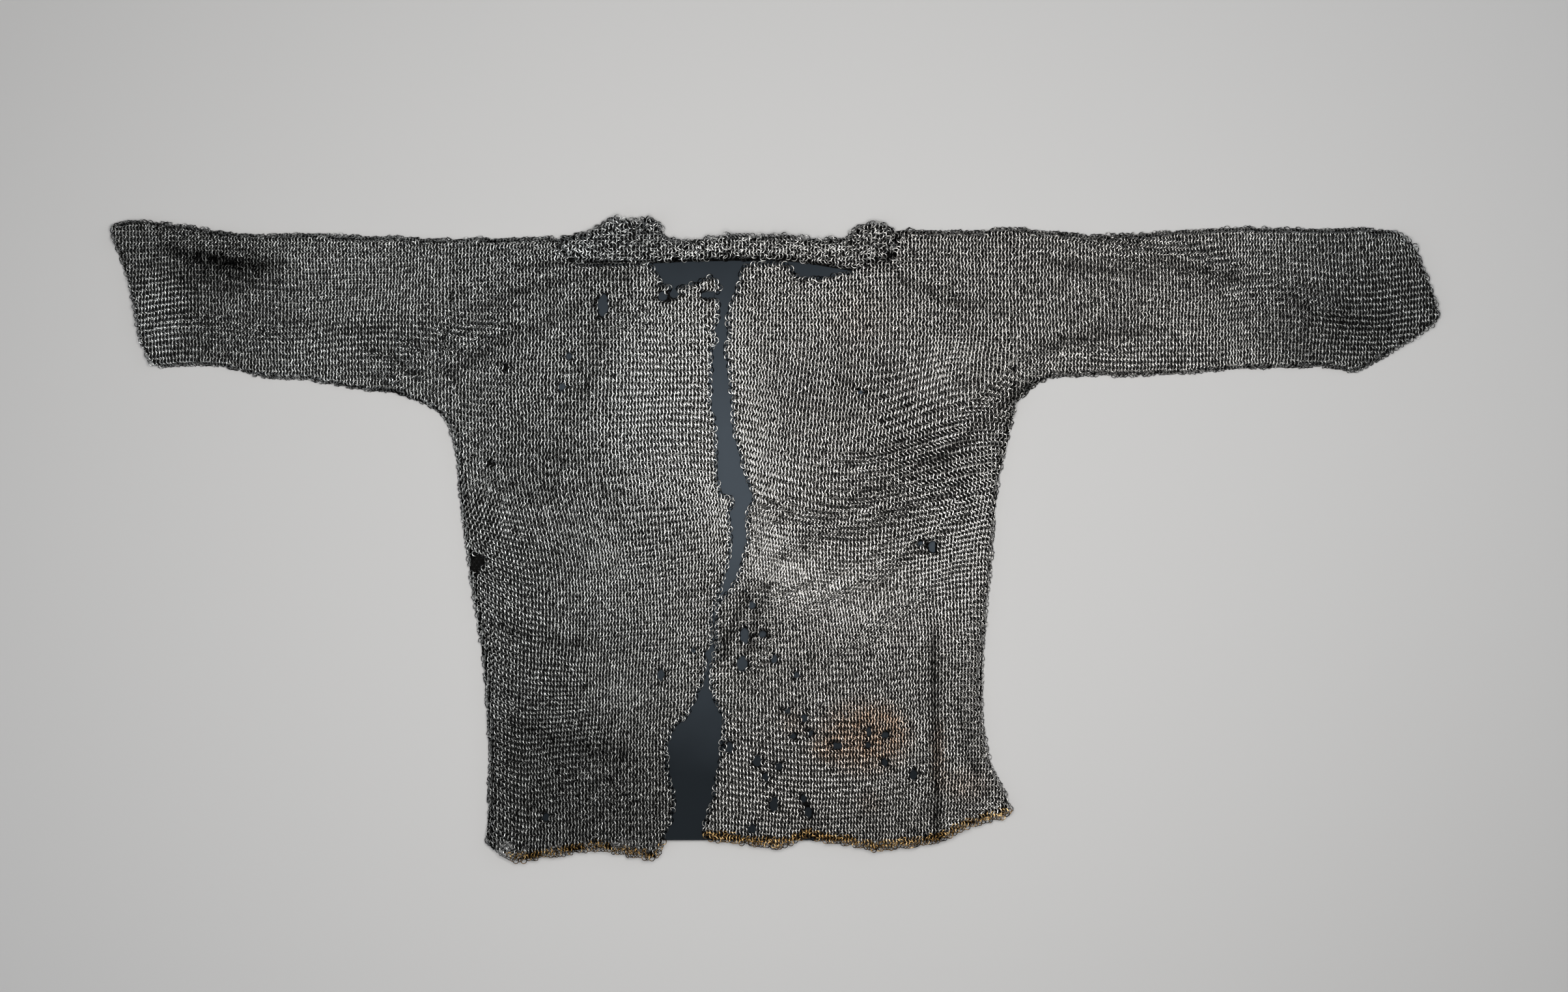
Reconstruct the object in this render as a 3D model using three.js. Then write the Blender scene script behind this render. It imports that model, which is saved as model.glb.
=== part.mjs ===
// A chainmail hauberk laid out flat in a T, its open front upwards, with a thin display
// board between the back and the two fronts. Millimetres; +X to the wearer's left sleeve,
// +Y to the collar, +Z up from the surface that the back rests on.
//
// The mail is a wall of constant thickness. Its panels lie on each other: the back on the
// surface, the board on the back, the fronts on the board, and past the board's rim the
// fronts come down on the back again. Each sleeve is a flattened tube, open at both ends.

import * as THREE from 'three';

// ---------------------------------------------------------------- driving dimensions

const MAIL = 3.6; // thickness of one wall of linked rings
const SEAM = 0.3; // clearance between two pieces
const BOARD = 3; // thickness of the display board
const HEM_BAND = 9; // depth of the brass rows along the fronts' hems
const COLLAR = 5; // thickness of the bunched mail behind the neck
const FOLD_RADIUS = MAIL - SEAM; // rounding of a wall where it folds over at a side

const ON_BACK = MAIL + SEAM; // height at which a layer lies on the back
const ON_BOARD = BOARD + SEAM; // what the board adds to it
const RIM_REACH = 18; // the mail stays level this far past an edge under it
const RIM_FALL = 24; // and comes down over this distance

const ARMPIT = { right: 126, left: 150 }; // y of the lowest point of each armhole
const SHOULDER = { right: -365, left: 270 }; // x of each armhole

// The display board: straight foot and sides, and a top that arches over the shoulders.
const BOARD_FOOT = -337;
const BOARD_LEFT = -290;
const BOARD_RIGHT = 180;
const BOARD_TOP = [
  { x: -290, y: 262 }, { x: -284, y: 284 }, { x: -268, y: 298 }, { x: -212, y: 308 },
  { x: -135, y: 310 }, { x: -95, y: 312 }, { x: -44, y: 313 }, { x: 7, y: 313 },
  { x: 36, y: 310 }, { x: 84, y: 302 }, { x: 130, y: 294 }, { x: 158, y: 284 },
  { x: 174, y: 266 }, { x: 180, y: 240 },
];
const BOARD_OUTLINE = [
  { x: BOARD_RIGHT, y: BOARD_FOOT }, { x: BOARD_LEFT, y: BOARD_FOOT }, ...BOARD_TOP,
];

// ---------------------------------------------------------------- panels
// sections: left and right border at each height. top and hem: the upper and lower border,
// which the rows next to them bend into over the reach given.

const RIGHT_FRONT = {
  fold: 'left', armpit: ARMPIT.right, topReach: 90, hemReach: 70, columns: 11,
  sections: [
    { y: -345, left: -325, right: -124 }, { y: -322, left: -322, right: -116 },
    { y: -296, left: -321, right: -110 }, { y: -264, left: -321, right: -119 },
    { y: -236, left: -320, right: -121 }, { y: -216, left: -321, right: -116 },
    { y: -192, left: -323, right: -95 }, { y: -160, left: -325, right: -80 },
    { y: -136, left: -327, right: -77 }, { y: -119, left: -329, right: -70 },
    { y: -73, left: -337, right: -69 }, { y: -60, left: -339, right: -61 },
    { y: -36, left: -342, right: -54 }, { y: -12, left: -345, right: -50 },
    { y: 20, left: -350, right: -50 }, { y: 34, left: -351, right: -53 },
    { y: 43, left: -352, right: -40 }, { y: 54, left: -353, right: -63 },
    { y: 93, left: -357, right: -66 }, { y: 126, left: -365, right: -66 },
    { y: 160, left: -365, right: -72 }, { y: 206, left: -365, right: -71 },
    { y: 226, left: -365, right: -64 }, { y: 235, left: -365, right: -70 },
    { y: 244, left: -365, right: -64 }, { y: 280, left: -365, right: -62 },
    { y: 338, left: -365, right: -62 },
  ],
  top: [
    { x: -365, y: 337 }, { x: -247, y: 338 }, { x: -241, y: 324 }, { x: -222, y: 310 },
    { x: -134, y: 309 }, { x: -128, y: 287 }, { x: -106, y: 284 }, { x: -90, y: 287 },
    { x: -76, y: 297 }, { x: -62, y: 292 },
  ],
  hem: [
    { x: -325, y: -346 }, { x: -320, y: -357 }, { x: -308, y: -362 }, { x: -281, y: -361 },
    { x: -248, y: -355 }, { x: -200, y: -347 }, { x: -168, y: -354 }, { x: -144, y: -357 },
    { x: -134, y: -362 }, { x: -124, y: -345 },
  ],
};

const LEFT_FRONT = {
  fold: 'right', armpit: ARMPIT.left, topReach: 100, hemReach: 80, columns: 12,
  sections: [
    { y: -333, left: -82, right: 266 }, { y: -310, left: -76, right: 262 },
    { y: -284, left: -68, right: 255 }, { y: -247, left: -62, right: 241 },
    { y: -200, left: -57, right: 233 }, { y: -172, left: -71, right: 232 },
    { y: -150, left: -73, right: 233 }, { y: -119, left: -66, right: 234 },
    { y: -73, left: -65, right: 238 }, { y: -46, left: -43, right: 241 },
    { y: -2, left: -31, right: 245 }, { y: 34, left: -30, right: 247 },
    { y: 46, left: -23, right: 248 }, { y: 58, left: -29, right: 250 },
    { y: 82, left: -35, right: 255 }, { y: 113, left: -45, right: 263 },
    { y: 150, left: -47, right: 270 }, { y: 195, left: -53, right: 270 },
    { y: 218, left: -58, right: 270 }, { y: 227, left: -52, right: 270 },
    { y: 262, left: -53, right: 270 }, { y: 290, left: -46, right: 270 },
    { y: 349, left: -37, right: 270 },
  ],
  top: [
    { x: -37, y: 305 }, { x: -30, y: 310 }, { x: 15, y: 310 }, { x: 28, y: 293 },
    { x: 46, y: 292 }, { x: 84, y: 301 }, { x: 110, y: 309 }, { x: 133, y: 318 },
    { x: 143, y: 348 }, { x: 200, y: 345 }, { x: 270, y: 349 },
  ],
  hem: [
    { x: -82, y: -334 }, { x: -67, y: -339 }, { x: -31, y: -338 }, { x: -20, y: -344 },
    { x: 12, y: -345 }, { x: 24, y: -334 }, { x: 47, y: -333 }, { x: 62, y: -343 },
    { x: 88, y: -342 }, { x: 97, y: -350 }, { x: 140, y: -346 }, { x: 190, y: -339 },
    { x: 212, y: -323 }, { x: 236, y: -317 }, { x: 250, y: -320 }, { x: 266, y: -308 },
  ],
};

const BACK = {
  fold: 'both', armpit: ARMPIT.left, topReach: 60, hemReach: 60, columns: 9,
  sections: [
    { y: -337, left: -325, right: 264 }, { y: -300, left: -321, right: 259 },
    { y: -268, left: -321, right: 249 }, { y: -236, left: -320, right: 237 },
    { y: -200, left: -322, right: 233 }, { y: -150, left: -326, right: 233 },
    { y: -96, left: -333, right: 236 }, { y: -40, left: -342, right: 241 },
    { y: 18, left: -350, right: 246 }, { y: 70, left: -355, right: 252 },
    { y: 112, left: -360, right: 263 }, { y: 126, left: -365, right: 265 },
    { y: 150, left: -365, right: 270 }, { y: 210, left: -365, right: 270 },
    { y: 280, left: -365, right: 270 }, { y: 338, left: -365, right: 270 },
  ],
  top: [
    { x: -365, y: 337 }, { x: -247, y: 338 }, { x: -120, y: 335 }, { x: -40, y: 340 },
    { x: 60, y: 336 }, { x: 144, y: 348 }, { x: 200, y: 345 }, { x: 270, y: 349 },
  ],
  hem: [
    { x: -325, y: -337 }, { x: 184, y: -337 }, { x: 208, y: -318 }, { x: 236, y: -312 },
    { x: 264, y: -305 },
  ],
};

// The bunched band behind the neck, read from left to right.
const COLLAR_SECTIONS = [
  { x: -242, low: 333, high: 339 }, { x: -236, low: 324, high: 340 },
  { x: -222, low: 313, high: 343 }, { x: -203, low: 311, high: 348 },
  { x: -195, low: 311, high: 357 }, { x: -179, low: 311, high: 362 },
  { x: -157, low: 311, high: 358 }, { x: -140, low: 311, high: 364 },
  { x: -127, low: 313, high: 355 }, { x: -122, low: 314, high: 338 },
  { x: -93, low: 314, high: 335 }, { x: -79, low: 315, high: 339 },
  { x: -51, low: 315, high: 343 }, { x: -22, low: 315, high: 341 },
  { x: 15, low: 314, high: 343 }, { x: 36, low: 312, high: 339 },
  { x: 50, low: 310, high: 337 }, { x: 80, low: 305, high: 339 },
  { x: 88, low: 305, high: 351 }, { x: 110, low: 312, high: 356 },
  { x: 132, low: 321, high: 352 }, { x: 137, low: 336, high: 350 },
];

// Sleeves: top and bottom border at each x, and the x of the cuff at each height.
const RIGHT_SLEEVE = {
  cuffReach: 100,
  sections: [
    { x: -748, bottom: 194, top: 356 }, { x: -722, bottom: 194, top: 359 },
    { x: -686, bottom: 196, top: 355 }, { x: -648, bottom: 197, top: 350 },
    { x: -613, bottom: 193, top: 344 }, { x: -577, bottom: 183, top: 341 },
    { x: -526, bottom: 180, top: 343 }, { x: -489, bottom: 173, top: 341 },
    { x: -460, bottom: 168, top: 340 }, { x: -430, bottom: 165, top: 340 },
    { x: -404, bottom: 156, top: 338 }, { x: -386, bottom: 149, top: 337 },
    { x: -374, bottom: 141, top: 337 }, { x: SHOULDER.right - SEAM, bottom: 127, top: 337 },
  ],
  cuff: [
    { y: 194, x: -694 }, { y: 201, x: -705 }, { y: 214, x: -711 }, { y: 246, x: -718 },
    { y: 290, x: -722 }, { y: 318, x: -726 }, { y: 330, x: -740 }, { y: 342, x: -747 },
    { y: 352, x: -747 }, { y: 357, x: -736 },
  ],
};

const LEFT_SLEEVE = {
  cuffReach: 150,
  sections: [
    { x: SHOULDER.left + SEAM, bottom: 151, top: 349 }, { x: 284, bottom: 167, top: 348 },
    { x: 298, bottom: 177, top: 347 }, { x: 318, bottom: 184, top: 345 },
    { x: 358, bottom: 185, top: 341 }, { x: 402, bottom: 184, top: 343 },
    { x: 445, bottom: 186, top: 345 }, { x: 486, bottom: 189, top: 349 },
    { x: 530, bottom: 193, top: 350 }, { x: 582, bottom: 194, top: 349 },
    { x: 635, bottom: 195, top: 348 }, { x: 676, bottom: 193, top: 350 },
    { x: 712, bottom: 190, top: 348 }, { x: 748, bottom: 188, top: 347 },
  ],
  cuff: [
    { y: 188, x: 650 }, { y: 206, x: 685 }, { y: 224, x: 717 }, { y: 240, x: 740 },
    { y: 246, x: 748 }, { y: 262, x: 744 }, { y: 284, x: 738 }, { y: 313, x: 726 },
    { y: 324, x: 723 }, { y: 336, x: 714 }, { y: 347, x: 698 },
  ],
};

// Folds: ridges of lifted mail. Each runs from its start to its end, bows to one side, and
// rises by rise over width either side of its crest.
const FOLDS = [
  // from the left armpit, sweeping down and in across the chest
  { x0: 268, y0: 168, x1: 60, y1: 72, bow: 20, width: 20, rise: 7 },
  { x0: 264, y0: 140, x1: 20, y1: 8, bow: 24, width: 24, rise: 9 },
  { x0: 256, y0: 104, x1: 30, y1: -66, bow: 24, width: 22, rise: 6 },
  { x0: 250, y0: 66, x1: 80, y1: -110, bow: 20, width: 20, rise: 4 },
  // beside the front opening at the waist
  { x0: -8, y0: 30, x1: -26, y1: -136, bow: 8, width: 18, rise: 6 },
  // along the board's right rim, and the flare of the hem outside it
  { x0: 204, y0: -60, x1: 200, y1: -330, bow: 4, width: 16, rise: 5 },
  { x0: 214, y0: -200, x1: 252, y1: -306, bow: -8, width: 18, rise: 6 },
  // right armpit and the chest above it
  { x0: -440, y0: 182, x1: -300, y1: 236, bow: 10, width: 18, rise: 6 },
  { x0: -356, y0: 110, x1: -268, y1: 176, bow: 8, width: 20, rise: 4 },
  // broad swells of the chest and skirts
  { x0: -150, y0: 220, x1: -106, y1: 60, bow: 12, width: 58, rise: 4 },
  { x0: 10, y0: 256, x1: 46, y1: 120, bow: -10, width: 54, rise: 4 },
  { x0: -268, y0: -150, x1: -180, y1: -262, bow: 10, width: 46, rise: 4 },
  { x0: 56, y0: -180, x1: 120, y1: -268, bow: 8, width: 42, rise: 3 },
  // right sleeve
  { x0: -690, y0: 322, x1: -560, y1: 300, bow: 6, width: 22, rise: 5 },
  { x0: -690, y0: 236, x1: -520, y1: 214, bow: 5, width: 20, rise: 4 },
  { x0: -520, y0: 316, x1: -400, y1: 306, bow: -5, width: 20, rise: 3 },
  // left sleeve
  { x0: 288, y0: 330, x1: 372, y1: 322, bow: 4, width: 14, rise: 5 },
  { x0: 398, y0: 318, x1: 520, y1: 298, bow: 6, width: 18, rise: 6 },
  { x0: 284, y0: 196, x1: 420, y1: 222, bow: -6, width: 18, rise: 5 },
  { x0: 500, y0: 266, x1: 640, y1: 250, bow: 6, width: 22, rise: 4 },
];

// Lumps of the bunched collar, each lying across the band.
const COLLAR_LUMPS = [
  { x0: -214, y0: 312, x1: -208, y1: 344, bow: 0, width: 12, rise: 3 },
  { x0: -188, y0: 316, x1: -180, y1: 360, bow: 3, width: 13, rise: 6 },
  { x0: -150, y0: 314, x1: -142, y1: 362, bow: -3, width: 14, rise: 6 },
  { x0: -100, y0: 314, x1: -104, y1: 338, bow: 0, width: 12, rise: 3 },
  { x0: -58, y0: 314, x1: -50, y1: 342, bow: 2, width: 13, rise: 5 },
  { x0: -22, y0: 314, x1: -28, y1: 342, bow: 0, width: 11, rise: 3 },
  { x0: 14, y0: 312, x1: 20, y1: 343, bow: 2, width: 13, rise: 4 },
  { x0: 62, y0: 306, x1: 56, y1: 338, bow: 0, width: 12, rise: 3 },
  { x0: 96, y0: 308, x1: 106, y1: 354, bow: 3, width: 14, rise: 6 },
];

// ---------------------------------------------------------------- reading the tables

/** One column of a table, read along a straight line at a value of its key column. */
function read(table, key, column, at) {
  if (at <= table[0][key]) return table[0][column];
  for (let i = 1; i < table.length; i += 1) {
    const low = table[i - 1];
    const high = table[i];
    if (at <= high[key]) {
      const part = (at - low[key]) / (high[key] - low[key]);
      return THREE.MathUtils.lerp(low[column], high[column], part);
    }
  }
  return table[table.length - 1][column];
}

/** 1 up to reach past an edge, falling smoothly to 0 at reach + fall. */
function cover(past) {
  return 1 - THREE.MathUtils.smoothstep(past, RIM_REACH, RIM_REACH + RIM_FALL);
}

/** Distance from a place to the board's outline, and 0 inside it. */
function pastBoard(x, y) {
  const withinSides = x > BOARD_LEFT && x < BOARD_RIGHT;
  if (withinSides && y > BOARD_FOOT && y < read(BOARD_TOP, 'x', 'y', x)) return 0;
  return Math.min(...BOARD_OUTLINE.map((start, i) => {
    const end = BOARD_OUTLINE[(i + 1) % BOARD_OUTLINE.length];
    const run = new THREE.Vector2(end.x - start.x, end.y - start.y);
    const way = new THREE.Vector2(x - start.x, y - start.y);
    const share = THREE.MathUtils.clamp(way.dot(run) / run.lengthSq(), 0, 1);
    return way.distanceTo(run.multiplyScalar(share));
  }));
}

/** Height on which a layer above the back lies at a place: the surface, back or board. */
function restHeight(x, y) {
  const pastBack = Math.max(
    read(BACK.hem, 'x', 'y', x) - y,
    y - read(BACK.top, 'x', 'y', x),
  );
  return ON_BACK * cover(pastBack) + ON_BOARD * cover(pastBoard(x, y));
}

/** How far the ridges of a table lift the mail at a place. */
function lift(ridges, x, y) {
  let height = 0;
  for (const ridge of ridges) {
    const run = Math.hypot(ridge.x1 - ridge.x0, ridge.y1 - ridge.y0);
    const alongX = (ridge.x1 - ridge.x0) / run;
    const alongY = (ridge.y1 - ridge.y0) / run;
    const along = ((x - ridge.x0) * alongX + (y - ridge.y0) * alongY) / run;
    const aside = (x - ridge.x0) * -alongY + (y - ridge.y0) * alongX;
    const inRun = THREE.MathUtils.clamp(along, 0, 1);
    const past = (along - inRun) * run;
    const fromCrest = Math.hypot(aside - ridge.bow * 4 * inRun * (1 - inRun), past);
    const share = Math.max(0, 1 - (fromCrest / ridge.width) ** 2);
    height = Math.max(height, ridge.rise * share * share);
  }
  return height;
}

/** How much a folded wall's outer face gives way, at a distance in from the fold. */
function foldRounding(inward) {
  if (inward >= FOLD_RADIUS) return 0;
  const across = FOLD_RADIUS - Math.max(0, inward);
  return FOLD_RADIUS - Math.sqrt(FOLD_RADIUS ** 2 - across ** 2);
}

// ---------------------------------------------------------------- building solids

/** A closed mesh from numbered corners and triangles. */
function solid(corners, triangles) {
  const geometry = new THREE.BufferGeometry();
  geometry.setAttribute('position', new THREE.Float32BufferAttribute(corners.flat(), 3));
  geometry.setIndex(triangles.flat());
  geometry.computeVertexNormals();
  return geometry;
}

/** Two triangles over four corners that run anticlockwise as seen from outside. */
function quad(a, b, c, d) {
  return [[a, b, c], [a, c, d]];
}

/** A wall from a grid of places, rows upwards and columns to the right, with faces. */
function wall(rows) {
  const height = rows.length;
  const width = rows[0].length;
  const corners = [];
  for (const face of ['high', 'low']) {
    for (const row of rows) {
      for (const place of row) corners.push([place.x, place.y, place[face]]);
    }
  }
  const upper = (row, column) => row * width + column;
  const lower = (row, column) => height * width + row * width + column;
  const triangles = [];
  for (let row = 0; row + 1 < height; row += 1) {
    for (let column = 0; column + 1 < width; column += 1) {
      const next = [row + 1, column + 1];
      triangles.push(...quad(
        upper(row, column), upper(row, next[1]), upper(next[0], next[1]), upper(next[0], column),
      ));
      triangles.push(...quad(
        lower(row, column), lower(next[0], column), lower(next[0], next[1]), lower(row, next[1]),
      ));
    }
  }
  const last = { row: height - 1, column: width - 1 };
  for (let row = 0; row < last.row; row += 1) {
    triangles.push(...quad(
      upper(row, 0), upper(row + 1, 0), lower(row + 1, 0), lower(row, 0),
    ));
    triangles.push(...quad(
      lower(row, last.column), lower(row + 1, last.column),
      upper(row + 1, last.column), upper(row, last.column),
    ));
  }
  for (let column = 0; column < last.column; column += 1) {
    triangles.push(...quad(
      lower(0, column), lower(0, column + 1), upper(0, column + 1), upper(0, column),
    ));
    triangles.push(...quad(
      upper(last.row, column), upper(last.row, column + 1),
      lower(last.row, column + 1), lower(last.row, column),
    ));
  }
  return solid(corners, triangles);
}

/** Columns of a panel as a share of its width and an inset, close together at a fold. */
function panelColumns(panel) {
  const left = panel.top[0].x;
  const span = panel.top[panel.top.length - 1].x - left;
  const shares = panel.top.map((place) => (place.x - left) / span);
  for (let step = 1; step < panel.columns; step += 1) {
    const share = step / panel.columns;
    if (shares.every((taken) => Math.abs(taken - share) > 0.6 / panel.columns)) {
      shares.push(share);
    }
  }
  const columns = shares.map((share) => ({ share, inset: 0 }));
  const insets = [FOLD_RADIUS / 4, FOLD_RADIUS];
  for (const inset of insets) {
    if (panel.fold !== 'right') columns.push({ share: 0, inset });
    if (panel.fold !== 'left') columns.push({ share: 1, inset: -inset });
  }
  return columns.sort((a, b) => a.share - b.share || a.inset - b.inset);
}

/** Where a panel's column crosses one of its rows. */
function panelPlace(panel, level, column, hemRise) {
  const sections = panel.sections;
  const foot = sections[0].y;
  const head = sections[sections.length - 1].y;
  const left = read(sections, 'y', 'left', level);
  const right = read(sections, 'y', 'right', level);
  const x = THREE.MathUtils.lerp(left, right, column.share) + column.inset;
  const nearHem = Math.max(0, 1 - (level - foot) / panel.hemReach);
  const nearTop = Math.max(0, 1 - (head - level) / panel.topReach);
  const hemBend = read(panel.hem, 'x', 'y', x) + hemRise - foot;
  const topBend = read(panel.top, 'x', 'y', x) - head;
  const y = level + nearHem * hemBend + nearTop * topBend;
  return { x, y, fromLeft: x - left, fromRight: right - x };
}

/** Levels of a panel's rows: its sections, the long steps split, and two by the shoulder. */
function panelLevels(panel, longest) {
  const levels = [];
  panel.sections.forEach((section, i) => {
    if (i > 0) {
      const before = panel.sections[i - 1].y;
      const steps = Math.ceil((section.y - before) / longest);
      for (let step = 1; step < steps; step += 1) {
        levels.push(THREE.MathUtils.lerp(before, section.y, step / steps));
      }
    }
    levels.push(section.y);
  });
  const head = levels.pop();
  return [...levels, head - FOLD_RADIUS, head - FOLD_RADIUS / 4, head];
}

/** Distance in from the nearest fold of a panel: its folded sides and its shoulders. */
function fromFold(panel, place) {
  const below = place.y < panel.armpit;
  let inward = Infinity;
  if (below && panel.fold !== 'right') inward = Math.min(inward, place.fromLeft);
  if (below && panel.fold !== 'left') inward = Math.min(inward, place.fromRight);
  const overShoulder = place.x < BOARD_LEFT + 40 || place.x > BOARD_RIGHT - 30;
  if (overShoulder) {
    inward = Math.min(inward, read(panel.top, 'x', 'y', place.x) - place.y);
  }
  return inward;
}

/** A front: it lies on whatever is under it, with its folds, and rounds over its side. */
function frontGeometry(panel) {
  const columns = panelColumns(panel);
  const rows = panelLevels(panel, 26).map((level) => columns.map((column) => {
    const place = panelPlace(panel, level, column, HEM_BAND + SEAM);
    const low = restHeight(place.x, place.y) + foldLift(panel, place);
    return { ...place, low, high: low + MAIL - foldRounding(fromFold(panel, place)) };
  }));
  return wall(rows);
}

/** The ridges' lift on a front, let down to nothing at its folded sides. */
function foldLift(panel, place) {
  const calm = THREE.MathUtils.smoothstep(fromFold(panel, place), 0, 16);
  return lift(FOLDS, place.x, place.y) * calm;
}

/** The brass rows under a front, on the same columns as the front's own lowest row. */
function hemBandGeometry(panel) {
  const columns = panelColumns(panel);
  const foot = panel.sections[0].y;
  const rows = [0, HEM_BAND / 2, HEM_BAND].map((rise) => columns.map((column) => {
    const place = panelPlace(panel, foot, column, rise);
    const low = restHeight(place.x, place.y) + foldLift(panel, place);
    return { ...place, low, high: low + MAIL };
  }));
  return wall(rows);
}

/** The back: flat on the surface, its under face rounding up where it turns over. */
function backGeometry() {
  const columns = panelColumns(BACK);
  const rows = panelLevels(BACK, 80).map((level) => columns.map((column) => {
    const place = panelPlace(BACK, level, column, 0);
    return { ...place, low: foldRounding(fromFold(BACK, place)), high: MAIL };
  }));
  return wall(rows);
}

/** The collar: a thicker bunched band, in rows that run along it. */
function collarGeometry() {
  const rows = [0, 0.25, 0.5, 0.75, 1].map((share) => COLLAR_SECTIONS.map((section) => {
    const place = { x: section.x, y: THREE.MathUtils.lerp(section.low, section.high, share) };
    const low = restHeight(place.x, place.y);
    const crown = 1 - (2 * share - 1) ** 2;
    const lump = lift(COLLAR_LUMPS, place.x, place.y);
    return { ...place, low, high: low + MAIL + (COLLAR - MAIL) * crown + lump };
  }));
  return wall(rows);
}

/** A place on a sleeve, given a section, a share of its depth and an inset along it. */
function sleevePlace(sleeve, section, share, inset) {
  const sections = sleeve.sections;
  const y = THREE.MathUtils.lerp(section.bottom, section.top, share) + inset;
  const cuffFirst = Math.abs(sections[0].x) > Math.abs(sections[sections.length - 1].x);
  const cuffX = cuffFirst ? sections[0].x : sections[sections.length - 1].x;
  const nearCuff = Math.max(0, 1 - Math.abs(section.x - cuffX) / sleeve.cuffReach);
  return { x: section.x + nearCuff * (read(sleeve.cuff, 'y', 'x', y) - cuffX), y };
}

/** A sleeve: two walls that fold into each other at top and bottom, open at both ends. */
function sleeveGeometry(sleeve) {
  const outer = [];
  const inner = [];
  const depth = 2 * MAIL + SEAM;
  const radius = depth / 2;
  const across = 8;
  for (const section of sleeve.sections) {
    const ring = { outer: [], inner: [] };
    const raise = (place) => {
      const edge = Math.min(place.y - section.bottom, section.top - place.y);
      return lift(FOLDS, place.x, place.y) * THREE.MathUtils.smoothstep(edge, radius, 20);
    };
    const corner = (loop, share, inset, z, raised) => {
      const place = sleevePlace(sleeve, section, share, inset);
      loop.push([place.x, place.y, z + (raised ? raise(place) : 0)]);
    };
    const arc = (share, side, from) => {
      for (const turn of [Math.PI / 4, Math.PI / 2, (3 * Math.PI) / 4]) {
        const inset = side * (radius - radius * Math.sin(turn));
        corner(ring.outer, share, inset, radius - from * radius * Math.cos(turn), false);
      }
    };
    for (let step = 0; step <= across; step += 1) { // under face, from bottom to top
      const share = step / across;
      corner(ring.outer, share, radius * (1 - 2 * share), 0, false);
      corner(ring.inner, share, MAIL * (1 - 2 * share), MAIL, false);
    }
    arc(1, -1, 1);
    for (let step = across; step >= 0; step -= 1) { // upper face, from top to bottom
      const share = step / across;
      corner(ring.outer, share, radius * (1 - 2 * share), depth, true);
      corner(ring.inner, share, MAIL * (1 - 2 * share), MAIL + SEAM, true);
    }
    arc(0, 1, -1);
    outer.push(ring.outer);
    inner.push(ring.inner);
  }
  return tube(outer, inner);
}

/** A hollow tube along +X from outer and inner loops that turn from +Y towards +Z. */
function tube(outer, inner) {
  const corners = [...outer.flat(), ...inner.flat()];
  const shift = outer.flat().length;
  const triangles = [];
  const skin = (loops, start, outward) => {
    const size = loops[0].length;
    for (let ring = 0; ring + 1 < loops.length; ring += 1) {
      for (let i = 0; i < size; i += 1) {
        const a = start + ring * size + i;
        const b = start + ring * size + ((i + 1) % size);
        const faces = quad(a, a + size, b + size, b);
        triangles.push(...faces.map((face) => (outward ? face.reverse() : face)));
      }
    }
  };
  skin(outer, 0, true);
  skin(inner, shift, false);
  const cap = (ring, facesForward) => {
    const flat = (loop) => loop.map((place) => new THREE.Vector2(place[1], place[2]));
    const rim = outer[ring].length;
    const numbers = (i) => (i < rim ? ring * rim + i : shift + ring * inner[0].length + i - rim);
    const faces = THREE.ShapeUtils.triangulateShape(flat(outer[ring]), [flat(inner[ring])]);
    for (const face of faces) {
      const corner = face.map(numbers);
      triangles.push(facesForward ? corner : corner.reverse());
    }
  };
  cap(0, false);
  cap(outer.length - 1, true);
  return solid(corners, triangles);
}

/** The display board: one flat sheet cut to its outline. */
function boardGeometry() {
  const outline = new THREE.Shape();
  outline.moveTo(BOARD_LEFT, BOARD_FOOT);
  outline.lineTo(BOARD_RIGHT, BOARD_FOOT);
  [...BOARD_TOP].reverse().forEach((place) => outline.lineTo(place.x, place.y));
  outline.closePath();
  const sheet = new THREE.ExtrudeGeometry(outline, { depth: BOARD, bevelEnabled: false });
  return sheet.translate(0, 0, ON_BACK);
}

// ---------------------------------------------------------------- the hauberk

const wroughtRings = { color: 0x6d6a66, roughness: 0.5, metalness: 0.9 };
const brightRings = { color: 0xa3a19c, roughness: 0.4, metalness: 0.9 };
const brassRings = { color: 0x8a6a35, roughness: 0.45, metalness: 0.9 };
const slatePaint = { color: 0x2c353c, roughness: 0.7, metalness: 0 };

const PIECES = [
  { name: 'back', geometry: backGeometry(), finish: wroughtRings },
  { name: 'display_board', geometry: boardGeometry(), finish: slatePaint },
  { name: 'right_front', geometry: frontGeometry(RIGHT_FRONT), finish: wroughtRings },
  { name: 'left_front', geometry: frontGeometry(LEFT_FRONT), finish: wroughtRings },
  { name: 'right_hem_band', geometry: hemBandGeometry(RIGHT_FRONT), finish: brassRings },
  { name: 'left_hem_band', geometry: hemBandGeometry(LEFT_FRONT), finish: brassRings },
  { name: 'right_sleeve', geometry: sleeveGeometry(RIGHT_SLEEVE), finish: wroughtRings },
  { name: 'left_sleeve', geometry: sleeveGeometry(LEFT_SLEEVE), finish: wroughtRings },
  { name: 'collar', geometry: collarGeometry(), finish: brightRings },
];

const hauberk = new THREE.Group();
for (const piece of PIECES) {
  const mesh = new THREE.Mesh(piece.geometry, new THREE.MeshStandardMaterial(piece.finish));
  mesh.name = piece.name;
  hauberk.add(mesh);
}

// The origin is on the surface, under the middle of the whole shirt.
const middle = new THREE.Box3().setFromObject(hauberk).getCenter(new THREE.Vector3());
hauberk.position.set(-middle.x, -middle.y, 0);

export default hauberk;
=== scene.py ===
"""Dresses a chainmail hauberk that lies flat, open front upwards, over a display board.

Every panel of mail is a woven under-layer, near-black with painted shade, made on the
panel's own solid, with real linked rings seated on it. The fronts, sleeves and hems share
one lattice of rings, so the rows run on from sleeve to chest and over the seams; the bunched
collar has its own. Lengths in the tables are millimetres on the shirt.
"""

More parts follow.
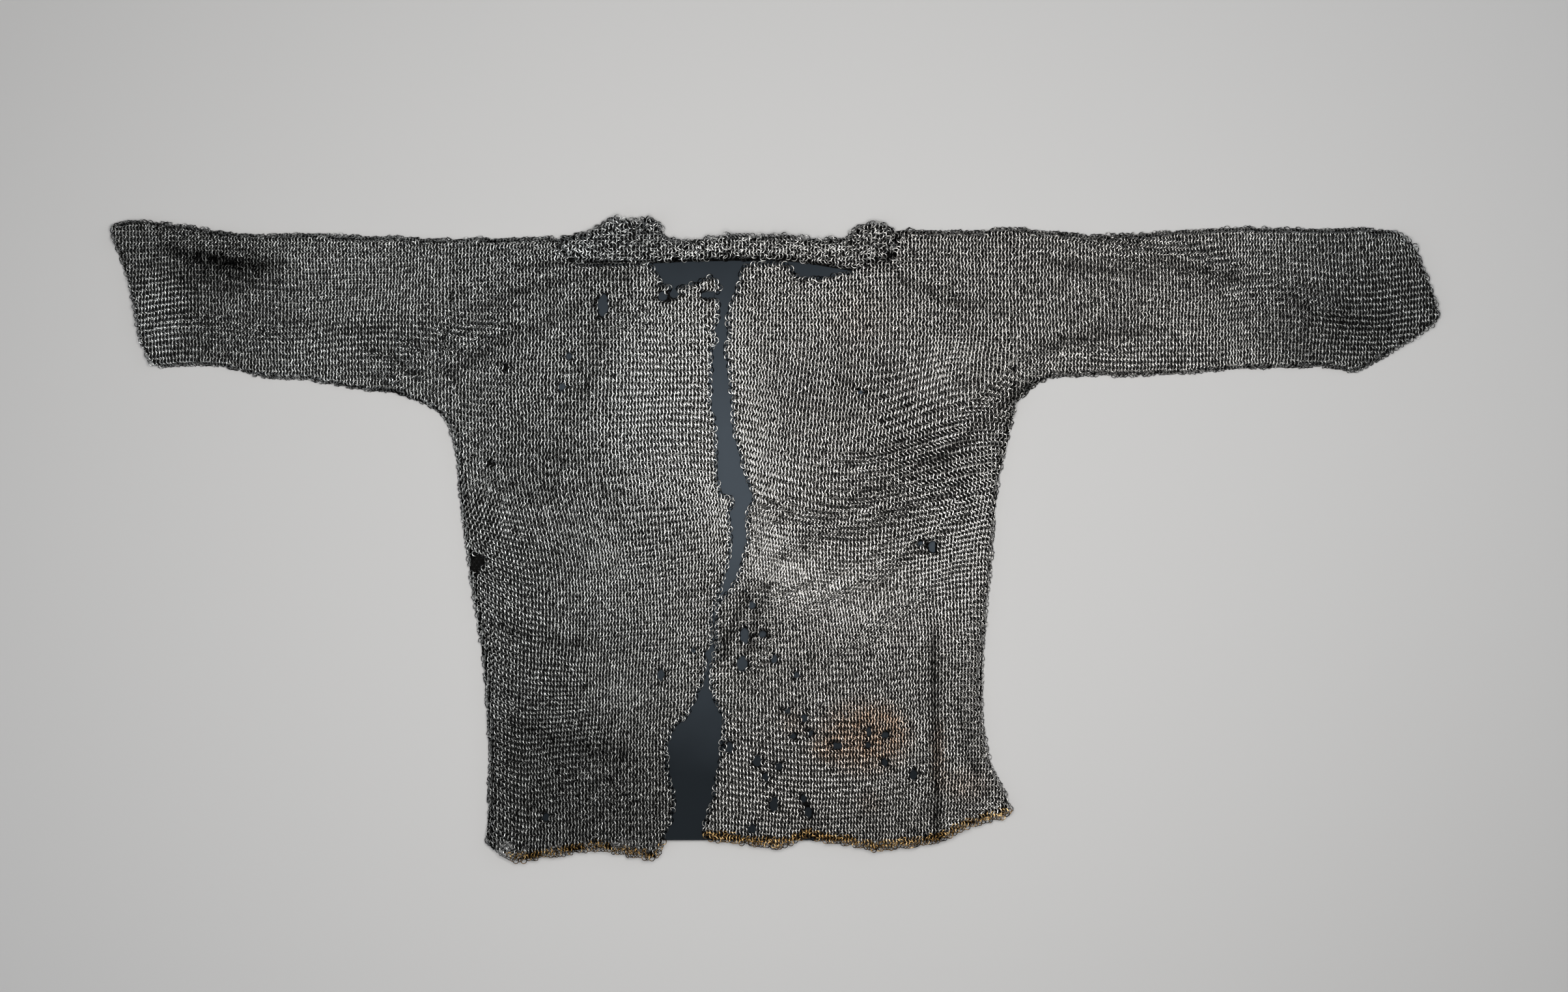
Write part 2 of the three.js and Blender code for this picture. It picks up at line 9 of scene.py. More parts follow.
import logging
import math
import random
from dataclasses import dataclass
from enum import Enum
from typing import Any

import bmesh
import bpy
from mathutils import Matrix, Vector, noise
from mathutils.bvhtree import BVHTree


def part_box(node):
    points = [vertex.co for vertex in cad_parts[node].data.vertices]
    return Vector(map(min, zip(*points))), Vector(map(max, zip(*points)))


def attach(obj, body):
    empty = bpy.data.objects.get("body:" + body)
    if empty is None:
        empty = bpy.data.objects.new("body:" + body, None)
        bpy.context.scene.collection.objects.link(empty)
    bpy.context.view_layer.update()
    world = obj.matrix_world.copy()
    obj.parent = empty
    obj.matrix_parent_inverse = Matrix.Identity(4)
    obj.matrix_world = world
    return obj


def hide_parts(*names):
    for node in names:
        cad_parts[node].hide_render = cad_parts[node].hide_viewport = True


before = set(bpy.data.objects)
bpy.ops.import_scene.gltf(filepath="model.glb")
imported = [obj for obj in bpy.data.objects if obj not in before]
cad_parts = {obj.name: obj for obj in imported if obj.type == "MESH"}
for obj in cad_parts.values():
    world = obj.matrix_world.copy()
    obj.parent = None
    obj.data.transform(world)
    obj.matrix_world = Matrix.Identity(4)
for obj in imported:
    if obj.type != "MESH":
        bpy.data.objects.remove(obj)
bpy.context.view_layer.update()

MM = 0.001
WALL = 3.6 * MM  # thickness of one wall of linked rings
STACK = 7.5 * MM  # two walls on each other, as at the side folds
MOST_TRIANGLES = 190_000  # in one piece
NOISE_SEED = 1  # without it Blender's noise starts from the clock and the rings move each run

log = logging.getLogger("hauberk")


class Edge(Enum):
    """How the mail ends at a border."""

    OPEN = "a ragged free edge"
    FOLD = "a fold, where the front layer turns over into the back one"


class Lean(Enum):
    """The side of a ring that stands up over its neighbour, alternating row by row."""

    LEFT = 0.0
    RIGHT = math.pi


# ------------------------------------------------------------------ small helpers


def linear(code: str) -> tuple[float, float, float, float]:
    """Turn an sRGB hex colour into linear RGBA.

    Args:
        code: Six hex digits, with or without a leading #.

    Returns:
        The linear colour with an alpha of 1.
    """
    code = code.lstrip("#")
    parts = [int(code[i : i + 2], 16) / 255 for i in (0, 2, 4)]
    flat = [c / 12.92 if c <= 0.04045 else ((c + 0.055) / 1.055) ** 2.4 for c in parts]
    return (flat[0], flat[1], flat[2], 1.0)


def eased(low: float, high: float, value: float) -> float:
    """Rise smoothly from 0 at low to 1 at high."""
    share = max(0.0, min(1.0, (value - low) / (high - low)))
    return share * share * (3.0 - 2.0 * share)


def add_node(
    tree: bpy.types.NodeTree,
    kind: str,
    settings: dict[str, Any] | None = None,
    links: dict[Any, Any] | None = None,
) -> bpy.types.Node:
    """Add one node with its settings and what goes into its sockets.

    Args:
        tree: The node tree that gets the node.
        kind: Blender's name for the node type.
        settings: Properties of the node.
        links: For each input, by name or number, another node's output or a plain value.

    Returns:
        The new node.
    """
    node = tree.nodes.new(kind)
    for name, value in (settings or {}).items():
        setattr(node, name, value)
    for name, value in (links or {}).items():
        socket = node.inputs[name]
        if isinstance(value, bpy.types.NodeSocket):
            tree.links.new(value, socket)
        else:
            socket.default_value = value
    return node


def add_ramp(
    tree: bpy.types.NodeTree, factor: bpy.types.NodeSocket, stops: list[tuple[float, str]]
) -> bpy.types.Node:
    """Add a colour ramp with its stops.

    Args:
        tree: The node tree that gets the ramp.
        factor: The output that drives it.
        stops: Position and hex colour of each stop, from low to high.

    Returns:
        The ramp node.
    """
    ramp = add_node(tree, "ShaderNodeValToRGB", links={"Fac": factor})
    elements = ramp.color_ramp.elements
    while len(elements) < len(stops):
        elements.new(1.0)
    for element, (place, code) in zip(elements, stops):
        element.position = place
        element.color = linear(code)
    return ramp


def new_material(name: str) -> tuple[bpy.types.Material, bpy.types.Node]:
    """Make an empty node material.

    Args:
        name: The material's name.

    Returns:
        The material and its Principled BSDF node.
    """
    material = bpy.data.materials.new(name)
    material.use_nodes = True
    return material, material.node_tree.nodes["Principled BSDF"]


def object_from(bm: bmesh.types.BMesh, name: str, smooth: bool = True) -> bpy.types.Object:
    """Turn a bmesh into an object at the origin, in the scene.

    Args:
        bm: The mesh, which is freed.
        name: The object's name.
        smooth: Whether its faces are shaded smooth.

    Returns:
        The new object.
    """
    mesh = bpy.data.meshes.new(name)
    bm.to_mesh(mesh)
    bm.free()
    if smooth:
        mesh.shade_smooth()
    piece = bpy.data.objects.new(name, mesh)
    bpy.context.scene.collection.objects.link(piece)
    return piece


def merged_copy(node: str) -> bmesh.types.BMesh:
    """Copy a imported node's mesh with its doubled corners merged."""
    bm = bmesh.new()
    bm.from_mesh(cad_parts[node].data)
    bmesh.ops.remove_doubles(bm, verts=bm.verts, dist=0.01 * MM)
    return bm


# ------------------------------------------------------------------ finishes


@dataclass(frozen=True)
class ForgedIron:
    """Hand-drawn wrought-iron wire: scoured bright on its crowns; its lower halves black, part grime
    and part painted shade.
    """

    name: str = "wrought_iron_wire_worn_and_shaded"
    # colour of the lower halves and recesses: grime and painted shade
    recess_grime_and_shade: str = "#040404"
    worn: str = "#8f8e8c"
    bright: str = "#f4f3f1"
    rust: str = "#f8d6bc"
    cool: str = "#f6fafb"
    warm: str = "#fffefc"
    metallic: float = 1.0
    roughness: float = 0.33
    grain_mm: float = 0.9  # hammer and rust pitting, drawn coarser than the real 0.1 mm

    def material(self) -> bpy.types.Material:
        """Build the material: wear with painted light and shade from each ring's tone, rust, and how
        far it stands up, which scours the crown and darkens the lower half as painted shade.
        """
        material, shader = new_material(self.name)
        tree = material.node_tree
        places = add_node(tree, "ShaderNodeTexCoord")
        tone = add_node(tree, "ShaderNodeAttribute", {"attribute_name": "tone"})
        rusty = add_node(tree, "ShaderNodeAttribute", {"attribute_name": "rust"})
        crown = add_node(tree, "ShaderNodeAttribute", {"attribute_name": "crown"})
        pits = add_node(
            tree,
            "ShaderNodeTexNoise",
            links={"Vector": places.outputs["Object"], "Scale": 1 / (self.grain_mm * MM)},
        )
        # Painted shade: the lower half of each ring, away from its raised crown, goes dark as if in
        # shadow; the bright crown is wear.
        raised = add_node(
            tree,
            "ShaderNodeMapRange",
            {"interpolation_type": "SMOOTHSTEP"},
            {"Value": crown.outputs["Fac"], "From Min": 0.3, "From Max": 0.9, "To Min": 0.05},
        )
        tone_wear_and_light = add_node(
            tree,
            "ShaderNodeMath",
            {"operation": "MULTIPLY"},
            {0: raised.outputs["Result"], 1: tone.outputs["Fac"]},
        )
        speckled = add_node(
            tree,
            "ShaderNodeMath",
            {"operation": "MULTIPLY_ADD"},
            {0: pits.outputs["Fac"], 1: 0.3, 2: tone_wear_and_light.outputs[0]},
        )
        wear_light_and_shade = add_node(
            tree,
            "ShaderNodeMath",
            {"operation": "SUBTRACT", "use_clamp": True},
            {0: speckled.outputs[0], 1: 0.15},
        )
        metal = add_ramp(
            tree,
            wear_light_and_shade.outputs[0],
            [(0.08, self.recess_grime_and_shade), (0.45, self.worn), (0.85, self.bright)],
        )
        warmth = add_node(tree, "ShaderNodeAttribute", {"attribute_name": "warmth"})
        tint = add_node(
            tree,
            "ShaderNodeMix",
            {"data_type": "RGBA"},
            {0: warmth.outputs["Fac"], 6: linear(self.cool), 7: linear(self.warm)},
        )
        tinted = add_node(
            tree,
            "ShaderNodeMix",
            {"data_type": "RGBA", "blend_type": "MULTIPLY"},
            {0: 1.0, 6: metal.outputs["Color"], 7: tint.outputs[2]},
        )
        stained = add_node(
            tree,
            "ShaderNodeMix",
            {"data_type": "RGBA", "blend_type": "MULTIPLY"},
            {0: rusty.outputs["Fac"], 6: tinted.outputs[2], 7: linear(self.rust)},
        )
        relief = add_node(
            tree,
            "ShaderNodeBump",
            links={"Height": pits.outputs["Fac"], "Strength": 0.25, "Distance": 0.1 * MM},
        )
        tree.links.new(stained.outputs[2], shader.inputs["Base Color"])
        tree.links.new(relief.outputs["Normal"], shader.inputs["Normal"])
        shader.inputs["Metallic"].default_value = self.metallic
        shader.inputs["Roughness"].default_value = self.roughness
        return material


@dataclass(frozen=True)
class WovenUnderlayer:
    """The deeper half of the weave: rings in shadow, their near-black colour painted shade."""

    name: str = "mail_weave_in_shadow"
    # Painted shade: the gaps and the deeper rings, near-black.
    deep: str = "#030303"
    ring: str = "#171716"
    pitch_mm: tuple[float, float] = (5.0, 7.4)  # along a row, and over a pair of rows
    ring_mm: float = 1.9
    wire_mm: float = 0.9

    def rings(self, tree: bpy.types.NodeTree, shift: tuple[float, float]) -> bpy.types.NodeSocket:
        """Draw one lattice of small rings as a height.

        Args:
            tree: The material's node tree.
            shift: The lattice's offset as a share of its pitch.

        Returns:
            A value of 1 on a ring's crest and 0 off it.
        """
        places = add_node(tree, "ShaderNodeTexCoord")
        scaled = add_node(
            tree,
            "ShaderNodeMapping",
            links={
                "Vector": places.outputs["Object"],
                "Location": (shift[0], shift[1], 0.0),
                "Scale": (1 / (self.pitch_mm[0] * MM), 1 / (self.pitch_mm[1] * MM), 0.0),
            },
        )
        cell = add_node(
            tree,
            "ShaderNodeVectorMath",
            {"operation": "FRACTION"},
            {0: scaled.outputs["Vector"]},
        )
        centred = add_node(
            tree,
            "ShaderNodeVectorMath",
            {"operation": "SUBTRACT"},
            {0: cell.outputs["Vector"], 1: (0.5, 0.5, 0.0)},
        )
        sized = add_node(
            tree,
            "ShaderNodeVectorMath",
            {"operation": "MULTIPLY"},
            {0: centred.outputs["Vector"], 1: (self.pitch_mm[0], self.pitch_mm[1], 0.0)},
        )
        reach = add_node(
            tree, "ShaderNodeVectorMath", {"operation": "LENGTH"}, {0: sized.outputs["Vector"]}
        )
        crest = add_node(
            tree,
            "ShaderNodeMapRange",
            {"interpolation_type": "SMOOTHSTEP"},
            {
                "Value": self.off_ring(tree, reach.outputs["Value"]),
                "From Min": self.wire_mm,
                "From Max": 0.0,
            },
        )
        return crest.outputs["Result"]

    def off_ring(
        self, tree: bpy.types.NodeTree, reach: bpy.types.NodeSocket
    ) -> bpy.types.NodeSocket:
        """Distance in mm from a ring's centre line, given the reach from its middle."""
        past = add_node(
            tree, "ShaderNodeMath", {"operation": "SUBTRACT"}, {0: reach, 1: self.ring_mm}
        )
        size = add_node(
            tree, "ShaderNodeMath", {"operation": "ABSOLUTE"}, {0: past.outputs[0]}
        )
        return size.outputs[0]

    def material(self) -> bpy.types.Material:
        """Build the material: two interleaved lattices of rings in colour and relief."""
        material, shader = new_material(self.name)
        tree = material.node_tree
        height = add_node(
            tree,
            "ShaderNodeMath",
            {"operation": "MAXIMUM"},
            {0: self.rings(tree, (0.0, 0.0)), 1: self.rings(tree, (0.5, 0.5))},
        )
        wire = add_ramp(tree, height.outputs[0], [(0.1, self.deep), (0.9, self.ring)])
        relief = add_node(
            tree,
            "ShaderNodeBump",
            links={"Height": height.outputs[0], "Strength": 0.9, "Distance": 0.8 * MM},
        )
        tree.links.new(wire.outputs["Color"], shader.inputs["Base Color"])
        tree.links.new(relief.outputs["Normal"], shader.inputs["Normal"])
        shader.inputs["Metallic"].default_value = 0.7
        shader.inputs["Roughness"].default_value = 0.6
        return material


@dataclass(frozen=True)
class SlatePaint:
    """A smooth board in matt slate paint, paler at mid-chest with painted light."""

    name: str = "slate_painted_board"
    paint: str = "#1b2228"
    # Painted light: the paler colour of the board's middle.
    lit_middle: str = "#4c555e"
    roughness: float = 0.8
    sheen: float = 0.2
    tooth_mm: float = 1.2

    def material(self) -> bpy.types.Material:
        """Build the material: a middle paler with painted light, uneven edges to it, and a tooth in
        the paint.
        """
        material, shader = new_material(self.name)
        tree = material.node_tree
        places = add_node(tree, "ShaderNodeTexCoord")
        split = add_node(
            tree, "ShaderNodeSeparateXYZ", links={"Vector": places.outputs["Object"]}
        )
        off = add_node(
            tree, "ShaderNodeMath", {"operation": "SUBTRACT"}, {0: split.outputs["Y"], 1: 0.06}
        )
        far = add_node(
            tree, "ShaderNodeMath", {"operation": "ABSOLUTE"}, {0: off.outputs[0]}
        )
        broad = add_node(
            tree,
            "ShaderNodeTexNoise",
            links={"Vector": places.outputs["Object"], "Scale": 9.0, "Detail": 3.0},
        )
        uneven = add_node(
            tree,
            "ShaderNodeMath",
            {"operation": "MULTIPLY_ADD"},
            {0: broad.outputs["Fac"], 1: 0.08, 2: far.outputs[0]},
        )
        tooth = add_node(
            tree,
            "ShaderNodeTexNoise",
            links={"Vector": places.outputs["Object"], "Scale": 1 / (self.tooth_mm * MM)},
        )
        # Painted light: the board is paler at mid-chest, darker towards the neck and the bottom.
        colour = add_ramp(
            tree, uneven.outputs[0], [(0.1, self.lit_middle), (0.36, self.paint)]
        )
        relief = add_node(
            tree,
            "ShaderNodeBump",
            links={"Height": tooth.outputs["Fac"], "Strength": 0.2, "Distance": 0.1 * MM},
        )
        tree.links.new(colour.outputs["Color"], shader.inputs["Base Color"])
        tree.links.new(relief.outputs["Normal"], shader.inputs["Normal"])
        shader.inputs["Roughness"].default_value = self.roughness
        shader.inputs["Specular IOR Level"].default_value = self.sheen
        return material


# ------------------------------------------------------------------ the mail's own facts


@dataclass(frozen=True)
class Patch:
    """A soft oval on the shirt, in mm: where it lies, its half sizes and how strong."""

    x: float
    y: float
    across: float
    up: float
    amount: float = 1.0

    def share(self, x: float, y: float) -> float:
        """How strongly the patch acts at a place in mm, from 0 outside to amount."""
        off = ((x - self.x) / self.across) ** 2 + ((y - self.y) / self.up) ** 2
        return self.amount * max(0.0, 1.0 - off)

    def holds(self, x: float, y: float, margin: float) -> bool:
        """Whether a place in mm is inside the oval, grown by a margin."""
        across, up = self.across + margin, self.up + margin
        return ((x - self.x) / across) ** 2 + ((y - self.y) / up) ** 2 < 1.0


HOLES = (
    Patch(-193, 262, 5, 12), Patch(-126, 272, 4, 4), Patch(-113, 275, 4, 4),
    Patch(-73, 273, 9, 3), Patch(-334, -27, 5, 8), Patch(-239, 170, 3, 3),
    Patch(-231, 205, 2, 3), Patch(-320, 85, 2, 2), Patch(-301, 193, 2, 2),
    Patch(-128, -153, 3, 6), Patch(-92, -125, 2, 2), Patch(-75, -129, 2, 3),
    Patch(-26, -74, 3, 3), Patch(-14, -107, 3, 3), Patch(-34, -109, 4, 8),
    Patch(-37, -140, 5, 8), Patch(-1, -135, 2, 4), Patch(24, -153, 2, 2),
    Patch(33, -201, 3, 3), Patch(40, -218, 2, 2), Patch(20, -221, 2, 2),
    Patch(14, -193, 2, 2), Patch(-51, -234, 3, 5), Patch(-20, -249, 4, 5),
    Patch(4, -255, 3, 3), Patch(-10, -267, 3, 3), Patch(-1, -298, 4, 7),
    Patch(37, -307, 3, 5), Patch(32, -291, 2, 3), Patch(-26, -325, 3, 4),
    Patch(105, -216, 2, 4), Patch(123, -220, 3, 3), Patch(104, -231, 2, 2),
    Patch(70, -232, 5, 3), Patch(123, -250, 2, 4), Patch(155, -264, 3, 5),
    Patch(96, 164, 2, 2), Patch(163, -6, 2, 2), Patch(177, -9, 4, 5),
    Patch(-257, -312, 3, 3),
)

RUST = (
    Patch(100, -222, 62, 50, 1.0), Patch(118, -216, 34, 34, 0.6), Patch(60, -236, 30, 18, 0.5),
    Patch(22, -207, 20, 18, 0.4), Patch(106, -294, 16, 18, 0.35),
    Patch(183, -243, 10, 50, 0.6), Patch(212, -276, 34, 24, 0.4), Patch(95, 246, 44, 40, 0.15),
)

# Darker patches at the sleeve ends and the lower left: partly darker iron, partly painted shade
# where the light falls off.
DARK_AND_SHADE_PATCHES = (
    Patch(-700, 270, 170, 190, 0.45), Patch(-610, 302, 80, 34, 0.55),
    Patch(730, 260, 210, 170, 0.4), Patch(-240, -290, 190, 230, 0.6),
    Patch(-300, 20, 110, 160, 0.2), Patch(-400, 230, 230, 130, 0.12),
    Patch(120, -330, 200, 60, 0.25), Patch(600, 230, 120, 60, 0.2),
)

# Painted light: pools of light on the chest and the right cuff, and painted glints on the collar and
# near the hem.
PAINTED_LIGHT_PATCHES = (
    Patch(-100, 150, 110, 150, 0.75), Patch(40, 190, 190, 170, 0.35),
    Patch(60, -10, 160, 160, 0.3), Patch(-60, 40, 120, 120, 0.2), Patch(205, 70, 70, 110, 0.7),
    Patch(-690, 250, 35, 60, 0.9), Patch(210, -20, 60, 130, 0.3),
    Patch(245, -308, 16, 12, 1.5), Patch(198, -318, 20, 10, 0.7),
    Patch(-223, 322, 26, 12, 1.5), Patch(-192, 349, 16, 8, 0.9), Patch(-95, 318, 14, 7, 1.2),
    Patch(-70, 329, 16, 10, 1.6), Patch(-28, 328, 16, 10, 1.5), Patch(26, 330, 13, 9, 1.5),
    Patch(70, 326, 12, 8, 1.2),
)

# where the rows stand up in pairs, so that the weave reads as level ribs
RIBS = (
    Patch(-110, 150, 90, 130, 0.7), Patch(215, 10, 90, 150, 0.8), Patch(110, 30, 130, 110, 0.6),
    Patch(-260, -230, 110, 150, 0.8), Patch(50, -270, 170, 110, 0.7), Patch(-300, -40, 70, 100, 0.7),
    Patch(-690, 250, 60, 80, 1.0), Patch(690, 250, 110, 100, 0.9), Patch(430, 190, 150, 60, 0.6),
    Patch(-470, 220, 130, 50, 0.6),
)


@dataclass(frozen=True)
class Crease:
    """A soft dark line of painted shade where the mail folds, from one place to another in mm."""

    x0: float
    y0: float
    x1: float
    y1: float
    bow: float
    width: float
    amount: float

    def share(self, x: float, y: float) -> float:
        """How strongly the crease darkens a place in mm, from 0 away from it to amount."""
        run_x, run_y = self.x1 - self.x0, self.y1 - self.y0
        length = math.hypot(run_x, run_y)
        along = ((x - self.x0) * run_x + (y - self.y0) * run_y) / length**2
        if not -0.1 < along < 1.1:
            return 0.0
        aside = ((x - self.x0) * run_y - (y - self.y0) * run_x) / length
        aside -= self.bow * 4.0 * along * (1.0 - along)
        ends = eased(-0.1, 0.15, along) * eased(1.1, 0.85, along)
        return self.amount * ends * max(0.0, 1.0 - (aside / self.width) ** 2)


# Painted shade along the folds of the mail.
CREASES = (
    Crease(300, 182, 176, 72, 8, 7, 0.55), Crease(250, 120, 120, 30, 14, 9, 0.16),
    Crease(246, 84, 60, -30, 18, 10, 0.16), Crease(240, 40, 90, -90, 18, 9, 0.14),
    Crease(150, 80, -4, -40, 10, 10, 0.2), Crease(100, 96, 0, 10, 8, 8, 0.15),
    Crease(-26, -50, -60, -140, 4, 7, 0.7), Crease(-4, -40, -30, -130, 3, 6, 0.6),
    Crease(178, -100, 184, -345, 2, 7, 0.8), Crease(206, -180, 236, -290, 4, 8, 0.35),
    Crease(-182, 270, -370, 180, 10, 12, 0.3), Crease(-150, 300, -330, 262, 8, 8, 0.45),
    Crease(-200, 320, -300, 306, -4, 6, 0.5), Crease(-190, 240, -250, 120, -10, 12, 0.25),
    Crease(-268, 100, -225, 86, 3, 8, 0.35), Crease(-360, 120, -440, 172, -6, 9, 0.45),
    Crease(-320, -90, -200, -120, 6, 10, 0.3), Crease(-300, -200, -160, -240, 8, 10, 0.3),
    Crease(-690, 330, -560, 306, 6, 9, 0.5), Crease(-560, 250, -420, 236, 5, 8, 0.25),
    Crease(290, 316, 420, 300, 6, 7, 0.4), Crease(420, 322, 540, 292, 8, 8, 0.4),
    Crease(290, 210, 420, 232, -6, 8, 0.35), Crease(560, 280, 680, 240, 8, 9, 0.3),
    Crease(130, 300, 240, 260, 8, 8, 0.35), Crease(60, 250, 84, 120, -6, 10, 0.2),
)


def total(patches: tuple[Patch | Crease, ...], x: float, y: float) -> float:
    """Add up what a table of patches or creases gives at a place in mm, up to 1."""
    return min(1.0, sum(patch.share(x, y) for patch in patches))


@dataclass(frozen=True)
class Drift:
    """A soft pull on the rows of rings, in mm: where, how far it reaches and which way."""

    x: float
    y: float
    reach: float
    right: float
    up: float


DRIFTS = (
    Drift(90, 60, 190, -14, -34),
    Drift(210, 150, 90, -6, 14),
    Drift(-200, -60, 200, 6, -16),
    Drift(-160, -250, 150, 0, 12),
    Drift(60, -240, 160, 6, -12),
    Drift(-440, 220, 120, -4, 8),
    Drift(440, 250, 150, 6, -8),
    Drift(-640, 260, 110, 0, 8),
    Drift(640, 260, 120, 6, -8),
)


@dataclass(frozen=True)
class Site:
    """One place of the weave, in mm, with the side its row leans to and its ring's size."""

    x: float
    y: float
    lean: Lean
    size: float


@dataclass(frozen=True)
class Lattice:
    """The weave's grid: rings a pitch apart in rows, every second row half a pitch over."""

    pitch: float = 3.95  # mm along a row of the chest
    row: float = 3.7  # mm from row to row
    stray: float = 0.55  # mm that a ring may lie off its place
    skirt: float = 0.88  # how much closer the rows lie below the chest
    arm: float = 0.86  # how much closer they lie on the sleeves

    def sites(self, width: float = 800.0, low: float = -420.0, high: float = 400.0) -> list[Site]:
        """Give every place of the grid over the whole shirt.

        Args:
            width: How far the grid goes to either side, in mm of cloth.
            low: Where it ends at the hem, in mm of cloth.
            high: Where it ends at the neck, in mm of cloth.

        Returns:
            The places, row by row.
        """
        found = []
        for row in range(math.floor(low / self.row), math.ceil(high / self.row)):
            lean = Lean.LEFT if row % 2 else Lean.RIGHT
            for place in range(-math.ceil(width / self.pitch), math.ceil(width / self.pitch)):
                flat = (place + 0.5 * (row % 2)) * self.pitch, row * self.row
                x, y, size = self.laid(*flat)
                found.append(Site(x, y, lean, size))
        return found

    def laid(self, u: float, v: float) -> tuple[float, float, float]:
        """Lay a place of the cloth on the table, closer set in the skirt and the sleeves.

        Args:
            u: The place along the row, in mm of cloth.
            v: The place up the cloth, in mm.

        Returns:
            x and y in mm on the shirt, and the size of the rings there.
        """
        low = eased(90.0, -60.0, v)
        arm = eased(290.0, 430.0, abs(u))
        y = v + (1.0 - self.skirt) * low * (60.0 - v) if v < 60.0 else v
        y = 245.0 + (y - 245.0) * (1.0 - (1.0 - self.arm) * arm)
        x = u * (1.0 - 0.06 * low * (1.0 - arm)) - math.copysign(0.05 * max(0.0, abs(u) - 300.0), u)
        x, y = self.pulled(x, y)
        return x, y, 1.0 - 0.08 * low * (1.0 - arm) - 0.08 * arm

    def pulled(self, x: float, y: float) -> tuple[float, float]:
        """Shift a place of the grid as the cloth is pulled about, in mm."""
        right = up = 0.0
        for drift in DRIFTS:
            off = math.hypot(x - drift.x, y - drift.y) / drift.reach
            if off < 1.0:
                pull = (1.0 - off * off) ** 2
                right += drift.right * pull
                up += drift.up * pull
        spot = Vector((x, y, 0.0))
        sway = noise.noise_vector(spot * 0.012) * 3.5 + noise.noise_vector(spot * 0.11)
        jitter = noise.noise_vector(spot * 0.71 + Vector((9.0, 4.0, 2.0))) * self.stray
        return x + right + sway.x + jitter.x, y + up + sway.y + jitter.y


@dataclass
class Seat:
    """Where one ring sits, which way it faces, how it has aged, and the painted light and shade in
    its tone.
    """

    place: Vector
    normal: Vector
    turn: float
    tilt: float
    tone: float
    rust: float
    warmth: float
    size: float
    bare: bool = False  # at a border, where the whole ring shows


@dataclass(frozen=True)
class RingShape:
    """One ring of the mail, in mm, lying flat with its raised half towards -X.

    The wire has a crest and two flanks: it is left open where it faces the weave below.
    """

    reach: float = 4.0  # from the middle to the wire's centre line
    wire: float = 1.2
    fine_steps: int = 3  # steps round the half that shows
    coarse_steps: int = 2  # steps round the half under the neighbours

    @property
    def faces(self) -> int:
        """Count the ring's faces."""
        return 2 * (self.fine_steps + self.coarse_steps)

    def build(self) -> bpy.types.Object:
        """Spin the wire's section round in two halves and mark each corner's height."""
        bm = bmesh.new()
        bmesh.ops.create_circle(bm, cap_ends=False, segments=3, radius=0.5 * self.wire * MM)
        flat = [edge for edge in bm.edges if abs(edge.verts[0].co.y - edge.verts[1].co.y) < 1e-6]
        bmesh.ops.delete(bm, geom=flat, context="EDGES_FACES")
        upright = Matrix.Rotation(math.pi / 2, 4, "Z") @ Matrix.Rotation(math.pi / 2, 4, "X")
        bmesh.ops.transform(bm, matrix=upright, verts=bm.verts)
        bmesh.ops.translate(bm, vec=(0.0, self.reach * MM, 0.0), verts=bm.verts)
        section = list(bm.verts) + list(bm.edges)
        for steps in (self.fine_steps, self.coarse_steps):
            spun = bmesh.ops.spin(
                bm,
                geom=section,
                cent=(0.0, 0.0, 0.0),
                axis=(0.0, 0.0, 1.0),
                angle=math.pi,
                steps=steps,
            )
            section = spun["geom_last"]
        bmesh.ops.remove_doubles(bm, verts=bm.verts, dist=0.01 * MM)
        bmesh.ops.recalc_face_normals(bm, faces=bm.faces)
        if sum(face.normal.z for face in bm.faces) < 0.0:
            bmesh.ops.reverse_faces(bm, faces=bm.faces)
        crown = bm.verts.layers.float.new("crown")
        for vert in bm.verts:
            around = -vert.co.x / (self.reach * MM)
            vert[crown] = 0.5 + 0.5 * max(-1.0, min(1.0, around))
        wrap = bm.loops.layers.uv.new("UVMap")
        across = 2.2 * (self.reach + self.wire) * MM
        for loop in (loop for face in bm.faces for loop in face.loops):
            loop[wrap].uv = (0.5 + loop.vert.co.x / across, 0.5 + loop.vert.co.y / across)
        return object_from(bm, "one_ring")


# ------------------------------------------------------------------ rings on the panels


class Cover:
    """What the upward-facing mail covers, read by looking straight down on its solids."""

    def __init__(self, nodes: tuple[str, ...]) -> None:
        """Prepare the search over some nodes together."""
        bm = bmesh.new()
        for node in nodes:
            bm.from_mesh(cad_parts[node].data)
        self.tree = BVHTree.FromBMesh(bm)
        bm.free()

    def top(self, x: float, y: float) -> tuple[Vector, Vector] | None:
        """Find the upper face at a place in mm, as a point and a normal."""
        above = Vector((x * MM, y * MM, 0.1))
        place, normal, _, _ = self.tree.ray_cast(above, Vector((0.0, 0.0, -1.0)))
        return None if place is None else (place, normal)

    def bare_ways(self, x: float, y: float, reach: float) -> list[Vector]:
        """List the ways, of eight around a place in mm, in which the mail has ended."""
        ways = []
        for step in range(8):
            turn = step * math.pi / 4
            way = Vector((math.cos(turn), math.sin(turn), 0.0))
            if self.top(x + way.x * reach, y + way.y * reach) is None:
                ways.append(way)
        return ways


WOVEN_RING = RingShape()
LOOSE_RING = RingShape(reach=3.75, fine_steps=5, coarse_steps=4)
MAIL_NODES = (
    "right_front", "left_front", "right_sleeve", "left_sleeve",
    "right_hem_band", "left_hem_band", "collar",
)
COVER = Cover(MAIL_NODES)


def edge_kind(x: float, y: float) -> Edge:
    """Say whether the mail's border near a place in mm is a fold or a free edge."""
    at_cuff = abs(x) > 640 and not (x > -690 and y < 210) and not (abs(x) < 690 and y > 330)
    at_hem = y < -296
    at_opening = -140 < x < 140 and y < 320
    at_collar = -215 < x < 142 and y > 320
    return Edge.OPEN if at_cuff or at_hem or at_opening or at_collar else Edge.FOLD


